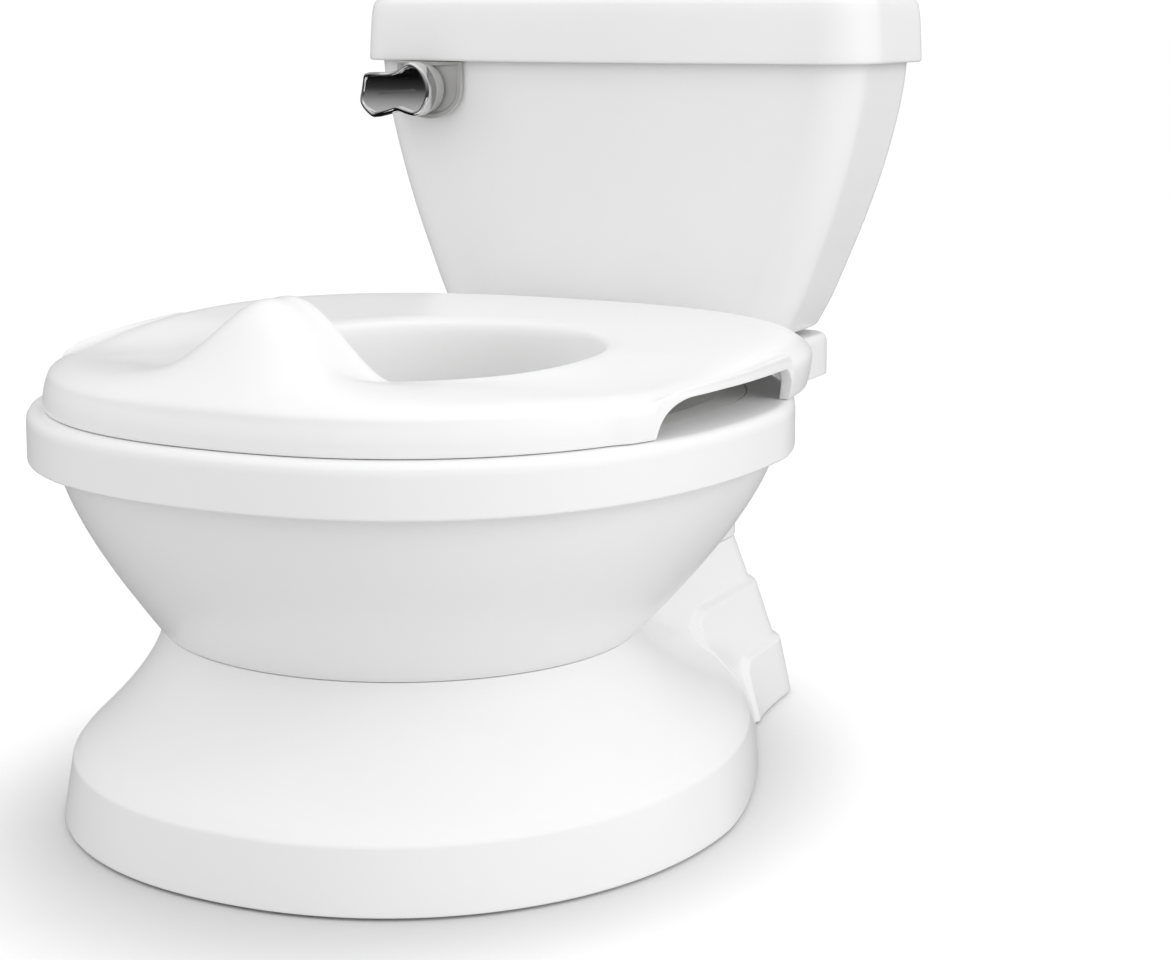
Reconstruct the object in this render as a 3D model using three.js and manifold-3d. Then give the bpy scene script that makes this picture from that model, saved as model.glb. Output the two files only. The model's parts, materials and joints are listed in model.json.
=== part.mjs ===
// Potty training chair shaped like a small toilet.
// Millimetres, +Z up, front towards -Y, +X to the right of someone facing the front.
// Shapes are drawn about the middle of the bowl, then moved so that the origin is the
// middle of the footprint, on the floor.
import * as THREE from 'three';
import { mergeVertices } from 'three/addons/utils/BufferGeometryUtils.js';
import Module from 'manifold-3d';

const wasm = await Module();
wasm.setup();

// ---- driving dimensions -------------------------------------------------------------
const GAP = 0.2;              // clearance between pieces that touch
const WALL = 3;               // moulded wall
const CENTRE_Y = 32.3;        // middle of the footprint, measured from the bowl's middle

const PAD_HEIGHT = 1;         // rubber feet below the pedestal's edge
const BAND_Z = 24.5;          // top of the foot band
const SHOULDER_Z = 28.5;      // rounded shoulder above the band
const FLARE_Z = 35;           // foot of the flare
const WAIST_Z = 70;           // seam between pedestal and bowl
const RIM_Z = 137;            // underside of the rim band and deck
const RIM_TOP = 156;          // top of the rim and deck
const SEAT_TOP = 172.5;       // top of the seat, apart from the guard
const GUARD_RISE = 29;        // splash guard above the seat
const COLLAR_Z = 140;         // lower edge of the collar round the hole, inside the pot
const FINGER_Y = [-76.5, 20.5];   // finger gap, front and back
const FINGER_TOP = 168.4;

const FOOT = { w: 129.6, front: 140.5, rear: 216, yc: -20, nf: 2.12, nr: 1.5 };
const BAND_TOP = { ...FOOT, w: 125, front: 138, rear: 161, nr: 1.85 };
const SHOULDER = { ...BAND_TOP, w: 122.3, front: 134.2, rear: 157 };
const FLARE_FOOT = { ...BAND_TOP, w: 116, front: 126.4, rear: 149 };
const WAIST = { w: 91.6, front: 88.6, rear: 88.6, yc: -32.9, nf: 2, nr: 2 };
const BOWL_TOP = { w: 131, front: 156.4, rear: 120, yc: 0, nf: 2.3, nr: 2 };
const RIM = { w: 141, front: 166, rear: 154, yc: 0, nf: 2.32, nr: 1.6 };
const SEAT = { w: 136, front: 160.4, rear: 124, yc: 0, nf: 2.3, nr: 2.6 };
const HOLE = { w: 70, front: 86, rear: 84, yc: -19, nf: 2.1, nr: 2.1 };
const POT_RIM = { w: 111, front: 136, rear: 94, yc: 0, nf: 2.2, nr: 2.1 };
const DECK = { w: 84, y0: 60, y1: 212, r: 11 };

const TANK_FOOT_Z = 158.4;    // underside of the tank above its foot
const TANK_TOP = 283;
const LID_Z = 277.4;
const LID_TOP = 306;
const LID = { w: 123.3, y0: 125.1, y1: 229.4, r: 24, bow: 7.9 };
const HINGE = { y: 228, z: 274.6, r: 2.6 };
const HINGE_X = 70;

const LEVER = { x: -84, z: 265, r: 12 };     // turning axis of the flush lever
const PLATE = { x: -81, half: 16.5, low: 251.5, face: 131 };
const SWITCH_X = -81.7;       // where the cam meets the switch button

// ---- materials ----------------------------------------------------------------------
function finish(name, color, roughness, metalness = 0) {
  const m = new THREE.MeshStandardMaterial({ color, roughness, metalness });
  m.name = name;
  return m;
}
const white = finish('white_plastic', 0xf4f4f3, 0.35);
const potWhite = finish('pot_plastic', 0xececea, 0.4);
const chrome = finish('chrome', 0xc9cbcc, 0.08, 1);
const satin = finish('satin_trim', 0xc4c4c2, 0.35, 0.6);
const rubber = finish('foot_rubber', 0xd9d9d6, 0.85);
const steel = finish('screw_steel', 0x9a9da0, 0.35, 1);
const grey = finish('grey_plastic', 0xa9abad, 0.5);
const black = finish('black_plastic', 0x232426, 0.5);
const board = finish('circuit_board', 0x1f6b43, 0.5);
const cell = finish('battery_wrap', 0xb9842f, 0.4, 0.3);

// ---- outlines -----------------------------------------------------------------------
const DEG = Math.PI / 180;
const mix = (a, b, t) => a + (b - a) * t;
const smooth = (t) => {
  const u = Math.min(1, Math.max(0, t));
  return u * u * (3 - 2 * u);
};

// Egg-shaped oval: different lengths and fullness at the front and the rear.
function insideOval(s, x, y) {
  const back = y > s.yc;
  const n = back ? s.nr : s.nf;
  return (Math.abs(x) / s.w) ** n + (Math.abs(y - s.yc) / (back ? s.rear : s.front)) ** n < 1;
}

function insideBox(s, x, y) {
  const half = (s.y1 - s.y0) / 2;
  const qx = Math.abs(x) - s.w + s.r;
  const qy = Math.abs(y - s.y0 - half) - half + s.r;
  return Math.hypot(Math.max(qx, 0), Math.max(qy, 0)) + Math.min(Math.max(qx, qy), 0) < s.r;
}

// Distance from (0, cy) to the outline in one direction.
function reach(inside, shape, cy, a) {
  let lo = 0;
  let hi = 400;
  for (let i = 0; i < 26; i += 1) {
    const mid = (lo + hi) / 2;
    if (inside(shape, mid * Math.cos(a), cy + mid * Math.sin(a))) lo = mid;
    else hi = mid;
  }
  return lo;
}

const grow = (s, d) => ({ ...s, w: s.w + d, front: s.front + d, rear: s.rear + d });
const blendOval = (a, b, t) => Object.fromEntries(
  Object.keys(a).map((k) => [k, mix(a[k], b[k], t)]));

// The moulded outlines are drawn round the hub. Points lie closer at the rear corners.
const HUB_Y = 40;
const halfAngles = [];
[[-90, -10, 13], [-10, 40, 7], [40, 74, 8], [74, 90, 2]].forEach(([from, to, steps]) => {
  for (let i = 0; i < steps; i += 1) halfAngles.push(mix(from, to, i / steps));
});
const angles = [...halfAngles, 90, ...halfAngles.slice(1).reverse().map((a) => 180 - a)]
  .map((a) => a * DEG);
const evenAngles = (n) => Array.from({ length: n }, (_, i) => (i / n - 0.25) * 2 * Math.PI);
const potAngles = evenAngles(36);
const seatAngles = evenAngles(56);

// One ring of a moulding: an oval, a box or both run together, at height z.
function ring(z, oval, box = null, blend = 24, inset = 0, cy = HUB_Y, fan = angles) {
  return fan.map((a) => {
    const ro = oval ? reach(insideOval, oval, cy, a) : 0;
    const rb = box ? reach(insideBox, box, cy, a) : 0;
    const r = (ro && rb ? (ro ** blend + rb ** blend) ** (1 / blend) : ro + rb) - inset;
    return [r * Math.cos(a), cy + r * Math.sin(a), z];
  });
}

// Rounded box outline with a bowed front, the same number of points for every size.
function boxRing(z, s, inset = 0) {
  const w = s.w - inset;
  const y0 = s.y0 + inset;
  const y1 = s.y1 - inset;
  const r = Math.max(s.r - inset, 1.5);
  const bow = s.bow ?? 0;
  const pts = [];
  const corner = (cx, cyy, from) => {
    for (let i = 0; i <= 5; i += 1) {
      const a = (from + i * 18) * DEG;
      pts.push([cx + r * Math.cos(a), cyy + r * Math.sin(a), z]);
    }
  };
  corner(w - r, y0 + bow + r, -90);
  corner(w - r, y1 - r, 0);
  for (let i = 1; i < 4; i += 1) pts.push([mix(w - r, r - w, i / 4), y1, z]);
  corner(r - w, y1 - r, 90);
  corner(r - w, y0 + bow + r, 180);
  for (let i = 1; i < 8; i += 1) {
    const u = i / 4 - 1;
    pts.push([u * (w - r), y0 + bow * u * u, z]);
  }
  return pts;
}

// ---- solids -------------------------------------------------------------------------
function fromArrays(vertices, faces) {
  const flat = new Float32Array(vertices.flat());
  return new wasm.Manifold(new wasm.Mesh({
    numProp: 3, vertProperties: flat, triVerts: new Uint32Array(faces.flat()),
  }));
}

// Skin over a stack of rings that runs upwards on the outside. A stack with caps is
// closed by its first and last rings, and a loop joins the last ring to the first.
function loft(rings, loop = false) {
  const n = rings[0].length;
  const vertices = rings.flat();
  const faces = [];
  const last = loop ? rings.length : rings.length - 1;
  for (let i = 0; i < last; i += 1) {
    const a = i * n;
    const b = ((i + 1) % rings.length) * n;
    for (let j = 0; j < n; j += 1) {
      const k = (j + 1) % n;
      faces.push([a + j, a + k, b + k], [a + j, b + k, b + j]);
    }
  }
  if (!loop) {
    [0, rings.length - 1].forEach((r, top) => {
      const mean = [0, 1, 2].map((c) => rings[r].reduce((t, p) => t + p[c], 0) / n);
      vertices.push(mean);
      for (let j = 0; j < n; j += 1) {
        const k = (j + 1) % n;
        faces.push(top ? [vertices.length - 1, r * n + j, r * n + k]
          : [vertices.length - 1, r * n + k, r * n + j]);
      }
    });
  }
  return fromArrays(vertices, faces);
}

function fromThree(geometry) {
  const g = geometry.index ? geometry.clone() : geometry;
  g.deleteAttribute('uv');
  g.deleteAttribute('normal');
  const merged = mergeVertices(g, 1e-4);
  return new wasm.Manifold(new wasm.Mesh({
    numProp: 3,
    vertProperties: new Float32Array(merged.attributes.position.array),
    triVerts: new Uint32Array(merged.index.array),
  }));
}

const block = (x0, x1, y0, y1, z0, z1) => {
  const g = new THREE.BoxGeometry(x1 - x0, y1 - y0, z1 - z0);
  g.translate((x0 + x1) / 2, (y0 + y1) / 2, (z0 + z1) / 2);
  return fromThree(g);
};

// Turned piece from [radius, height] pairs, standing along an axis from a start point.
function turned(profile, at, axis = 'z', sides = 20) {
  const g = new THREE.LatheGeometry(profile.map((p) => new THREE.Vector2(...p)), sides);
  if (axis === 'z') g.rotateX(Math.PI / 2);
  if (axis === 'x') g.rotateZ(-Math.PI / 2);
  g.translate(...at);
  return fromThree(g);
}
const disc = (r, h) => [[0, 0], [r, 0], [r, h], [0, h]];
const washer = (r0, r1, h) => [[r0, 0], [r1, 0], [r1, h], [r0, h], [r0, 0]];

// Flat shape in X-Z pushed back along Y, or in Y-Z pushed along X.
function pushed(points, depth, at, plane = 'xz') {
  const shape = new THREE.Shape(points.map((p) => new THREE.Vector2(...p)));
  const g = new THREE.ExtrudeGeometry(shape, { depth, bevelEnabled: false });
  if (plane === 'xz') {
    g.rotateX(Math.PI / 2);
    g.translate(0, at + depth, 0);
  } else {
    g.applyMatrix4(new THREE.Matrix4().set(0, 0, 1, at, 1, 0, 0, 0, 0, 1, 0, 0, 0, 0, 0, 1));
  }
  return fromThree(g);
}

const group = new THREE.Group();
group.name = 'potty_training_chair';

function add(name, solid, material) {
  const m = solid.getMesh();
  const g = new THREE.BufferGeometry();
  g.setAttribute('position', new THREE.BufferAttribute(new Float32Array(m.vertProperties), 3));
  g.setIndex(new THREE.BufferAttribute(new Uint32Array(m.triVerts), 1));
  g.translate(0, -CENTRE_Y, 0);
  g.computeVertexNormals();
  const mesh = new THREE.Mesh(g, material);
  mesh.name = name;
  group.add(mesh);
}
const cutAll = (solid, tools) => tools.reduce((s, t) => s.subtract(t), solid);
const joinAll = (solid, extra) => extra.reduce((s, t) => s.add(t), solid);

// ---- fasteners' places --------------------------------------------------------------
const baseScrews = [[-57, -92], [57, -92], [-49.2, 157], [49.2, 157]];
const tankBolts = [[-24, 158], [24, 158]];
const PAD_ANGLES = [-148, -32, -113, -67, 119, 61];   // seen from above, round the hub

const egg = (z, oval, fan = potAngles) => ring(z, oval, null, 1, 0, 0, fan);

// ---- pedestal -----------------------------------------------------------------------
// Squared rear part of the pedestal, stepped in twice on the way up.
const TRAPWAY_STEPS = [25.5, 50];
const trapway = (z) => {
  const [low, high] = TRAPWAY_STEPS;
  const w = z < low ? mix(86, 81.5, z / low) : z < high ? mix(78.5, 70.5, (z - low) / (high - low))
    : mix(67.5, 60.5, (z - high) / (WAIST_Z - high));
  return { w, y0: 20, y1: mix(174, 168, z / WAIST_Z), r: 20 };
};
const FLARE = 1.5;
const NECK = 14;       // how sharply the round front meets the trapway
function pedestalRing(z, inset) {
  const t = (z - FLARE_Z) / (WAIST_Z - FLARE_Z);
  return ring(z, blendOval(WAIST, FLARE_FOOT, (1 - t) ** FLARE), trapway(z), NECK, inset);
}
const bandLow = trapway(0);
const pedestalOuter = [
  ring(PAD_HEIGHT, FOOT, bandLow, NECK, 0.8),
  ring(PAD_HEIGHT + 1.5, FOOT, bandLow, NECK),
  ring(BAND_Z, BAND_TOP, trapway(BAND_Z), NECK),
  ring(BAND_Z + 1.2, grow(BAND_TOP, -0.6), trapway(BAND_Z + 1.2), NECK),
  ring(SHOULDER_Z, SHOULDER, trapway(SHOULDER_Z), NECK),
  ...[FLARE_Z, 39.5, 44.5, 49.5, 50.7, 57, 63.5, WAIST_Z].map((z) => pedestalRing(z, 0)),
];
const FLANGE = 15;     // width of the ledge the bowl stands on
const pedestalInner = [
  pedestalRing(WAIST_Z, FLANGE),
  ring(WAIST_Z - WALL, WAIST, trapway(WAIST_Z), NECK, FLANGE),
  ring(WAIST_Z - WALL, WAIST, trapway(WAIST_Z), NECK, WALL),
  ...[58, 46, FLARE_Z].map((z) => pedestalRing(z, WALL + 1)),
  ring(BAND_Z - 3, BAND_TOP, trapway(BAND_Z), NECK, WALL + 1.5),
  ring(PAD_HEIGHT, FOOT, bandLow, NECK, WALL + 1.5),
];
const pedestalSkin = loft(pedestalOuter);
const footPads = PAD_ANGLES.map((deg) => {
  const a = deg * DEG;
  const r = Math.max(reach(insideOval, FOOT, HUB_Y, a), reach(insideBox, bandLow, HUB_Y, a)) - 11.5;
  return [r * Math.cos(a), HUB_Y + r * Math.sin(a)];
});
const padBosses = footPads.map(([x, y]) => turned(disc(9.5, 10), [x, y, PAD_HEIGHT], 'z', 14));
const pedestal = cutAll(
  joinAll(loft([...pedestalOuter, ...pedestalInner], true),
    padBosses.map((b) => b.intersect(pedestalSkin))),
  [...baseScrews.map(([x, y]) => turned(disc(2.2, 8), [x, y, WAIST_Z - 5], 'z', 12)),
    ...footPads.map(([x, y]) => turned(disc(2.7, 6.4), [x, y, PAD_HEIGHT - 1], 'z', 12))]);
add('pedestal_shell', pedestal, white);

footPads.forEach(([x, y], i) => {
  const side = x < 0 ? 'left' : 'right';
  const place = ['side', 'side', 'front', 'front', 'rear', 'rear'][i];
  add(`foot_pad_${place}_${side}`, turned(
    [[0, 0], [7.5, 0], [8, 0.4], [8, PAD_HEIGHT - GAP], [2.5, PAD_HEIGHT - GAP],
      [2.5, 6], [0, 6]], [x, y, 0], 'z', 14), rubber);
});
baseScrews.forEach(([x, y], i) => {
  add(`base_screw_${i + 1}`, turned(
    [[0, 0], [2.8, 0], [3.6, 0.8], [3.6, 3], [2, 3], [2, 9.5], [0, 11]],
    [x, y, WAIST_Z - WALL - 3 - GAP], 'z', 12), steel);
});

// ---- bowl, rim and deck -------------------------------------------------------------
const bowlOval = (z) => blendOval(WAIST, BOWL_TOP,
  1 - (1 - (z - WAIST_Z) / (RIM_Z - WAIST_Z)) ** 1.45);
const column = (z) => ({ w: mix(60.5, 59, (z - 70) / 67), y0: 20, y1: mix(168, 172, (z - 70) / 67), r: 18 });
const BOWL_FOOT = WAIST_Z + GAP;
const bowlOuter = loft([
  ring(BOWL_FOOT, WAIST, column(70), 24, 0.8),
  ...[71.2, 79, 90, 104, 120, RIM_Z - 0.4].map((z) => ring(z, bowlOval(z), column(z))),
  ring(RIM_Z, RIM, DECK, 24, 1.2),
  ring(RIM_Z + 1, RIM, DECK),
  ring(RIM_TOP - 5, RIM, DECK),
  ring(RIM_TOP - 1.6, RIM, DECK, 24, 1.4),
  ring(RIM_TOP, RIM, DECK, 24, 4.8),
]);
const OPENING = { w: 112, front: 137.2, rear: 95.2, yc: 0, nf: 2.2, nr: 2.1 };
const well = loft([
  ...[WAIST_Z + 6, 84, 96, 112, 128].map((z) => egg(z, grow(bowlOval(z), -WALL - 0.6))),
  egg(RIM_Z + 1, grow(BOWL_TOP, -WALL - 1)),
  egg(RIM_TOP - 3.6, { ...BOWL_TOP, w: 131, front: 156, rear: 117 }),
]);
const mouth = loft([
  egg(RIM_TOP - 5, OPENING),
  egg(RIM_TOP - 2.6, OPENING),
  egg(RIM_TOP - 2.6, grow(OPENING, 8)),
  egg(RIM_TOP + 1, grow(OPENING, 8)),
]);
const columnHollow = loft([[69, 63], [RIM_Z - 1, 126], [RIM_Z + 4, 128]].map(([z, y0]) => boxRing(z,
  { w: 55.5, y0, y1: mix(164, 168, (z - 69) / 72), r: 14 })));
const deckHollow = loft([RIM_Z + 3.9, RIM_TOP - 3.6].map((z) => boxRing(z,
  { w: 79, y0: 128, y1: 206, r: 8 })));
const screwBosses = baseScrews.slice(2).map(([x, y]) => turned(disc(5.5, 20), [x, y, BOWL_FOOT]));
const bowl = cutAll(
  joinAll(cutAll(bowlOuter, [well, mouth, columnHollow, deckHollow]), screwBosses),
  [...baseScrews.map(([x, y]) => turned(disc(2.15, 6), [x, y, WAIST_Z - 0.5], 'z', 12)),
    ...tankBolts.map(([x, y]) => turned(disc(3.2, 8), [x, y, RIM_TOP - 6], 'z', 14))]);
add('bowl_shell', bowl, white);

// ---- removable pot ------------------------------------------------------------------
const potAt = (z, w, front, rear) => egg(z, { ...POT_RIM, w, front, rear });
const POT_LEDGE = RIM_TOP - 2.6 + GAP;
const pot = loft([
  potAt(84, 70, 92, 48), potAt(86.5, 74, 96, 52), potAt(104, 88, 112, 68),
  potAt(130, 103, 127, 84), potAt(POT_LEDGE - 1.5, 110, 135, 93),
  potAt(POT_LEDGE, 111, 136, 94), potAt(POT_LEDGE, 118.5, 143.5, 101.5),
  potAt(RIM_TOP - GAP, 118.5, 143.5, 101.5), potAt(RIM_TOP - GAP, 108.6, 133.6, 91.6),
  potAt(130, 100.6, 124.6, 81.6), potAt(104, 85.6, 109.6, 65.6),
  potAt(88.6, 71, 93, 49), potAt(86.6, 67, 89, 45),
]);
add('inner_pot', pot, potWhite);

// ---- seat with splash guard ---------------------------------------------------------
// Height of the guard: a narrow peak at the hole that spreads out towards the front.
function guard(x, y, rho) {
  if (y > 0) return 0;
  const reachX = Math.abs(x);
  const spread = smooth((105 - reachX) / 45) / (1 + (reachX / mix(34, 25, rho)) ** 2.4);
  const peak = reachX < 33 ? Math.cos((x / 33) * Math.PI / 2) ** 1.8 : 0;
  return GUARD_RISE * smooth(rho / 0.6) * mix(spread, peak, smooth((rho - 0.45) / 0.45));
}
// The seat's edge is higher at the rear, and dips for the thighs beside the hole.
const edgeRise = (y) => 5 * smooth((y + 110) / 160);
const thighDip = (x, y) => 4 * smooth((Math.abs(x) - 30) / 50) * smooth((60 - Math.abs(y + 55)) / 60);
// rho runs from 0 at the outer edge of the seat to 1 at the hole
function seatRing(rho, drop = 0, inset = 0) {
  const outer = egg(0, grow(SEAT, -inset), seatAngles);
  const inner = egg(0, grow(HOLE, inset ? 4 : 0), seatAngles);
  return outer.map(([ox, oy], i) => {
    const x = mix(ox, inner[i][0], rho);
    const y = mix(oy, inner[i][1], rho);
    const arch = 4 * rho * (1 - rho);
    const level = SEAT_TOP + edgeRise(y) * (1 - rho) - thighDip(x, y) * arch;
    return [x, y, level - drop + guard(x, y, Math.max(rho, 0))];
  });
}
const flatSeat = (z, outline, d = 0) => egg(z, grow(outline, d), seatAngles);
// Outer wall of the seat: upright at the rear, leaning inwards at the front.
const wallRing = (up, lean) => seatRing(0).map(([x, y]) => {
  const s = 1 - (lean * smooth((70 - y) / 200) - 1.6) / Math.hypot(x, y);
  return [x * s, y * s, SEAT_FOOT + (SEAT_TOP + edgeRise(y) - SEAT_FOOT) * up];
});
const SEAT_FOOT = RIM_TOP + GAP;
const holeDown = (drop, d) => seatRing(1, drop).map(([x, y, z]) => {
  const s = 1 - d / Math.hypot(x, y + 19);
  return [x * s, (y + 19) * s - 19, z];
});
const seatSkin = loft([
  flatSeat(SEAT_FOOT, SEAT), wallRing(0.3, 1.9), wallRing(0.62, 3.4),
  seatRing(0.075, 2), seatRing(0.17), seatRing(0.32), seatRing(0.5), seatRing(0.68),
  seatRing(0.85), seatRing(0.96), holeDown(1.5, 1.5), holeDown(6, 4),
  flatSeat(COLLAR_Z, HOLE, -7), flatSeat(COLLAR_Z, HOLE, -4.5),
  holeDown(7, 1), seatRing(0.93, 4.2, 3.5), seatRing(0.55, 4.6, 3.5), seatRing(0.3, 4.8, 3.5),
  seatRing(0.15, 5, 3.5), flatSeat(SEAT_FOOT + 5, SEAT, -4.5), flatSeat(SEAT_FOOT, SEAT, -4),
], true);
const [fingerFront, fingerRear] = FINGER_Y;
const fingerShape = [
  [fingerFront, RIM_TOP - 2], [fingerFront + 0.5, RIM_TOP + 2], [fingerFront + 5, FINGER_TOP - 4.4],
  [fingerFront + 11, FINGER_TOP - 1.1], [fingerFront + 20, FINGER_TOP],
  [fingerRear - 8, FINGER_TOP], [fingerRear - 2.5, FINGER_TOP - 3], [fingerRear, FINGER_TOP - 8],
  [fingerRear, RIM_TOP - 2],
].reverse();
const seat = cutAll(seatSkin, [pushed(fingerShape, 50, 100, 'yz'), pushed(fingerShape, 50, -150, 'yz')]);
add('potty_seat', seat, white);

// ---- tank ---------------------------------------------------------------------------
const tankSide = [
  [TANK_FOOT_Z, 77.5], [160, 80.5], [165, 83.5], [174, 87.8], [190, 94], [209, 101],
  [230, 107.5], [250, 112.6], [266, 115.8], [TANK_TOP, 117.6],
];
const tankBox = (z, w) => {
  const t = (z - 156) / 127;
  return { w, y0: mix(134, 130, t), y1: mix(214, 224.5, Math.min(1, t * 1.5)), r: 20, bow: 7.9 };
};
const tankOuter = tankSide.map(([z, w]) => boxRing(z, tankBox(z, w), z < 159 ? 2 : 0));
const tankFoot = boxRing(RIM_TOP + GAP, tankBox(156, 70), 3);
const tankInner = tankSide.slice(2).reverse().map(([z, w]) => boxRing(z, tankBox(z, w), WALL));
const TANK_FLOOR = TANK_FOOT_Z + WALL;
tankInner.push(boxRing(TANK_FLOOR, tankBox(160, 79), WALL + 1));
const tankEars = [-1, 1].flatMap((side) => [-8, 8].flatMap((dx) => {
  const x = side * HINGE_X + dx;
  return [turned(disc(HINGE.r, 6), [x - 3, HINGE.y, HINGE.z], 'x', 14),
    block(x - 3, x + 3, 223.6, HINGE.y, HINGE.z - 2.4, HINGE.z + 2.2)];
}));
const spindleHole = turned(disc(3.4, 40), [LEVER.x, 120, LEVER.z], 'y', 16);
const hingeBore = (side) => turned(disc(1.35, 24), [side * HINGE_X - 12, HINGE.y, HINGE.z], 'x', 12);
const tank = cutAll(
  joinAll(loft([tankFoot, boxRing(TANK_FOOT_Z, tankBox(156, 70), 3), ...tankOuter, ...tankInner]),
    tankEars.map((e) => e.subtract(loft([...tankInner].reverse())))),
  [spindleHole, hingeBore(-1), hingeBore(1),
    ...tankBolts.map(([x, y]) => turned(disc(3.2, 12), [x, y, RIM_TOP - 2], 'z', 14))]);
add('tank_shell', tank, white);

tankBolts.forEach(([x, y], i) => {
  const side = i ? 'right' : 'left';
  add(`tank_bolt_${side}`, turned(
    [[0, 0], [3, 0.4], [3, 17.4], [7, 17.4], [7, 19.4], [5.5, 21], [0, 21]],
    [x, y, TANK_FLOOR + GAP - 17.4], 'z', 16), white);
  add(`tank_nut_${side}`, turned(washer(3.2, 6.5, 4.5), [x, y, RIM_TOP - 3.6 - GAP - 4.5], 'z', 12), grey);
});

// ---- tank lid and hinge -------------------------------------------------------------
const lidOuter = [
  [LID_Z, 0.6], [LID_Z + 1, 0], [LID_TOP - 6, 1.4], [LID_TOP - 2.6, 2.4], [LID_TOP - 0.8, 4.6],
  [LID_TOP, 8],
].map(([z, d]) => boxRing(z, LID, d));
const lidInner = [[LID_TOP - 3.2, 9], [LID_TOP - 7, 3.8], [LID_Z + 1, 2.6], [LID_Z, 2.6]]
  .map(([z, d]) => boxRing(z, LID, d));
const TANK_MOUTH = tankBox(TANK_TOP, 117.6);
const seatRib = loft([
  boxRing(TANK_TOP + GAP, TANK_MOUTH, 0.4), boxRing(LID_TOP - 3, TANK_MOUTH, 0.4),
  boxRing(LID_TOP - 3, TANK_MOUTH, 2.8), boxRing(TANK_TOP + GAP, TANK_MOUTH, 2.8),
], true);
const lidKnuckles = [-1, 1].flatMap((side) => {
  const x = side * HINGE_X;
  return [turned(disc(HINGE.r, 9.4), [x - 4.7, HINGE.y, HINGE.z], 'x', 14),
    block(x - 4.7, x + 4.7, HINGE.y - 1, HINGE.y + 1.2, HINGE.z, LID_Z + 3)];
});
const lid = cutAll(joinAll(loft([...lidInner, ...lidOuter]), [seatRib, ...lidKnuckles]),
  [hingeBore(-1), hingeBore(1)]);
add('tank_lid', lid, white);
[-1, 1].forEach((side) => add(`hinge_pin_${side < 0 ? 'left' : 'right'}`, turned(
  disc(1.15, 21.6), [side * HINGE_X - 10.8, HINGE.y, HINGE.z], 'x', 12), steel));

// ---- flush lever --------------------------------------------------------------------
const plateShape = [[PLATE.x + PLATE.half, LID_Z - GAP], [PLATE.x - PLATE.half, LID_Z - GAP]];
for (let i = 0; i <= 8; i += 1) {
  const a = (180 + i * 22.5) * DEG;
  plateShape.push([PLATE.x + Math.cos(a) * PLATE.half, PLATE.low + 13 + Math.sin(a) * 13]);
}
const tankFace = loft(tankSide.map(([z, w]) => boxRing(z, tankBox(z, w), -GAP)));
add('handle_escutcheon', cutAll(pushed(plateShape, 12, PLATE.face), [tankFace, spindleHole]), satin);

const leverShape = [];
for (let i = 0; i <= 12; i += 1) {
  const a = (125 - i * 20) * DEG;
  leverShape.push([LEVER.x + Math.cos(a) * LEVER.r, LEVER.z + Math.sin(a) * LEVER.r]);
}
leverShape.push(...[[-11, -11], [-17.8, -12.4], [-23, -9.1], [-25.7, -6], [-25, 0.3], [-22.8, 6.8],
  [-12, 7.6]].map(([x, z]) => [LEVER.x + x, LEVER.z + z]));
const LEVER_FACE = 116;
const scoop = turned(disc(17, 60), [LEVER.x - 36, LEVER_FACE - 12.5, LEVER.z - 5], 'x', 28);
const leverBack = pushed([[LEVER.x - 40, 200], [LEVER.x - 14, 200], [LEVER.x - 14, 300],
  [LEVER.x - 40, 300]], 12, LEVER_FACE + 8);
const lever = cutAll(
  pushed(leverShape.reverse(), PLATE.face - GAP - LEVER_FACE, LEVER_FACE), [scoop, leverBack])
  .subtract(turned(disc(3.1, 12), [LEVER.x, LEVER_FACE + 8, LEVER.z], 'y', 16));
add('flush_lever', lever, chrome);

const spindle = joinAll(turned(disc(2.95, 36.5), [LEVER.x, LEVER_FACE + 8.3, LEVER.z], 'y', 16), [
  turned(disc(6, 5), [LEVER.x, 154.6, LEVER.z], 'y', 16),
  block(LEVER.x - 2, LEVER.x + 2, 154.6, 159.6, LEVER.z - 9, LEVER.z),
  turned(disc(2, 5), [LEVER.x, 154.6, LEVER.z - 9], 'y', 12),
]);
add('handle_spindle', spindle, grey);
add('spindle_clip', turned(washer(3.15, 6, 1), [LEVER.x, 141.6, LEVER.z], 'y', 16), steel);

class Coil extends THREE.Curve {
  getPoint(t) {
    const a = t * 4.5 * 2 * Math.PI;
    return new THREE.Vector3(LEVER.x + 4.6 * Math.cos(a), 143.4 + t * 10.2, LEVER.z + 4.6 * Math.sin(a));
  }
}
const wire = new THREE.Shape(Array.from({ length: 5 }, (_, i) => new THREE.Vector2(
  0.5 * Math.cos(i * 72 * DEG), 0.5 * Math.sin(i * 72 * DEG))));
add('lever_return_spring', fromThree(new THREE.ExtrudeGeometry(wire,
  { steps: 45, extrudePath: new Coil(), bevelEnabled: false })), steel);

// ---- flushing-sound unit inside the tank --------------------------------------------
const UNIT = { x0: -69, x1: -35, y0: 153, y1: 204, z0: TANK_FLOOR + GAP, z1: 240 };
const unitBox = block(UNIT.x0, UNIT.x1, UNIT.y0, UNIT.y1, UNIT.z0, UNIT.z1)
  .subtract(block(UNIT.x0 + 2, UNIT.x1 - 2, UNIT.y0 + 2, UNIT.y1 - 2, UNIT.z0 + 2, UNIT.z1 + 1))
  .subtract(block(UNIT.x1 - 3, UNIT.x1 + 1, UNIT.y0 + 10, UNIT.y1 - 8, 170, 226))
  .subtract(turned(disc(1.6, 6), [UNIT.x1 - 4, 177, 229], 'x', 10));
add('sound_unit_case', unitBox, grey);
add('sound_unit_cover', block(UNIT.x0, UNIT.x1, UNIT.y0, UNIT.y1, UNIT.z1 + GAP, UNIT.z1 + 2.2), grey);
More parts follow.
